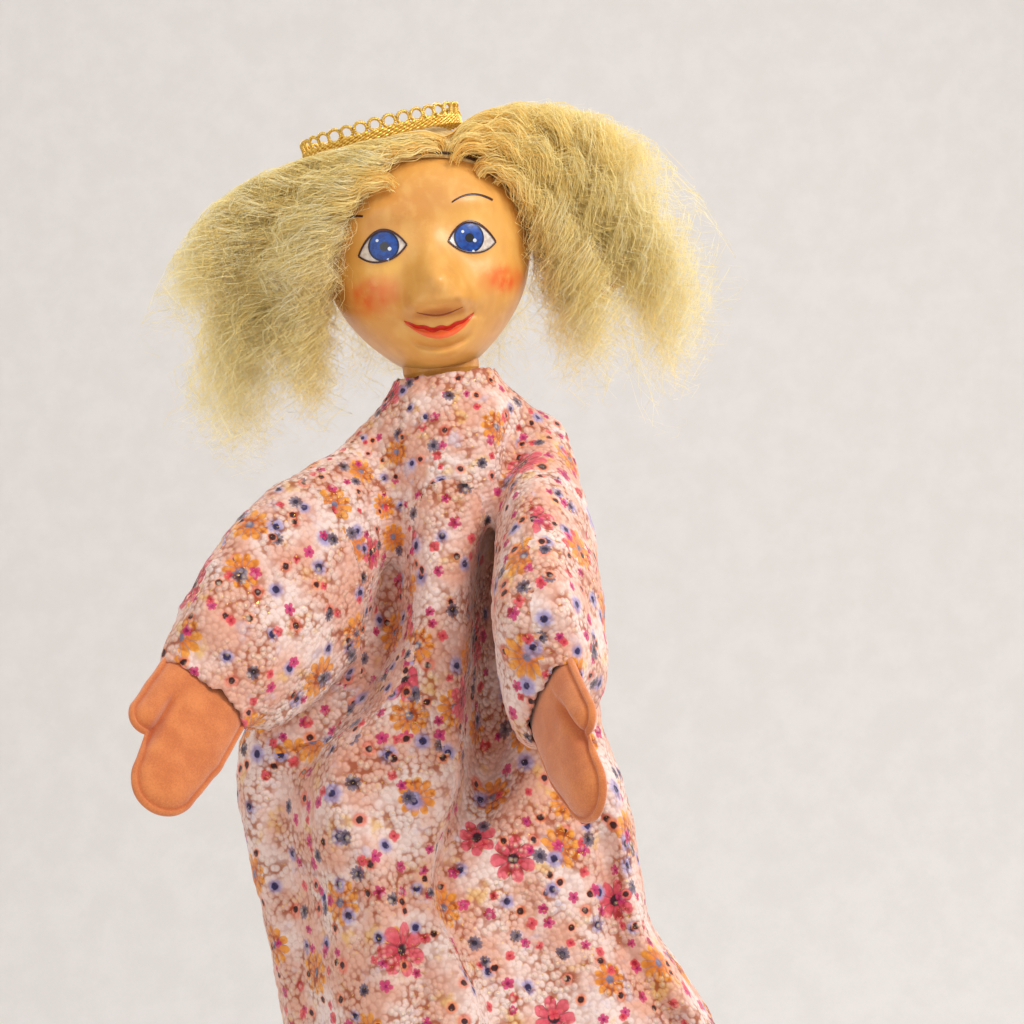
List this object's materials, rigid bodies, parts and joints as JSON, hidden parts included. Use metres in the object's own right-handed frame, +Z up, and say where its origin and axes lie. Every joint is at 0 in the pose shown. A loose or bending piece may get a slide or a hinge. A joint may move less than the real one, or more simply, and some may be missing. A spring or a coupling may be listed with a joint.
{
  "type": "glove puppet",
  "caption": "Glove puppet of a princess: carved head on a finger, curled wool hair, gold braid crown, gathered flowered dress and felt hands on swinging sleeves.",
  "frame": {"origin": "centre of the finger hole's mouth, at the bottom of the neck", "axes": "+Z up along the finger hole through the head, the face looks along -Y, +X is the puppet's own left"},
  "size_m": [0.2197, 0.1709, 0.3567],
  "materials": {
    "painted_wood": "satin paint",
    "pelt": "matte",
    "wool": "fluffy curled wool",
    "gold_braid": "metallic braid",
    "dark_thread": "matte",
    "cord": "matte",
    "cloth": "printed looped knit",
    "lining_felt": "felt",
    "hand_felt": "felt",
    "filling": "wadding",
    "stitch_thread": "matte"
  },
  "bodies": {
    "head": {"head": "painted_wood", "neck": "painted_wood", "finger_lining": "lining_felt", "wig_cap": "pelt", "wool_right": "wool", "wool_left": "wool", "wool_back": "wool", "wool_fringe": "wool", "crown_braid": "gold_braid", "crown_loops": "gold_braid", "hairline_cord": "dark_thread"},
    "neck_cord": {"neck_drawstring": "cord", "drawstring_knot": "cord"},
    "collar": {"collar": "cloth"},
    "dress": {"dress_front": "cloth", "dress_back": "cloth", "hem_band": "cloth"},
    "right_arm": {"right_sleeve_front": "cloth", "right_sleeve_back": "cloth", "right_cuff": "cloth", "right_finger_tube": "lining_felt"},
    "right_hand": {"right_palm_felt": "hand_felt", "right_back_felt": "hand_felt", "right_hand_filling": "filling", "right_hand_stitches": "stitch_thread"},
    "left_arm": {"left_sleeve_front": "cloth", "left_sleeve_back": "cloth", "left_cuff": "cloth", "left_finger_tube": "lining_felt"},
    "left_hand": {"left_palm_felt": "hand_felt", "left_back_felt": "hand_felt", "left_hand_filling": "filling", "left_hand_stitches": "stitch_thread"}
  },
  "joints": [
    {"name": "head_turn", "type": "hinge", "parent": "head", "child": "neck_cord", "pos_m": [0, 0, 0.009], "axis": [0, 0, 1], "range_deg": [-35, 35]},
    {"name": "head_tilt", "type": "hinge", "parent": "neck_cord", "child": "collar", "pos_m": [0, 0, 0.009], "axis": [0, 1, 0], "range_deg": [-10, 10]},
    {"name": "head_nod", "type": "hinge", "parent": "collar", "child": "dress", "pos_m": [0, 0, 0.009], "axis": [1, 0, 0], "range_deg": [-25, 12]},
    {"name": "right_arm_swing", "type": "hinge", "parent": "dress", "child": "right_arm", "pos_m": [-0.035, -0.007, -0.034], "axis": [0, 0, 1], "range_deg": [-20, 25]},
    {"name": "right_wrist_bend", "type": "hinge", "parent": "right_arm", "child": "right_hand", "pos_m": [-0.0886, -0.0515, -0.076], "axis": [-0.677, -0.1051, 0.7284], "range_deg": [-20, 20]},
    {"name": "left_arm_swing", "type": "hinge", "parent": "dress", "child": "left_arm", "pos_m": [0.03, -0.007, -0.04], "axis": [0, 0, 1], "range_deg": [-8, 40]},
    {"name": "left_wrist_bend", "type": "hinge", "parent": "left_arm", "child": "left_hand", "pos_m": [0.018, -0.068, -0.092], "axis": [0.3671, -0.503, 0.7824], "range_deg": [-20, 12]}
  ]
}
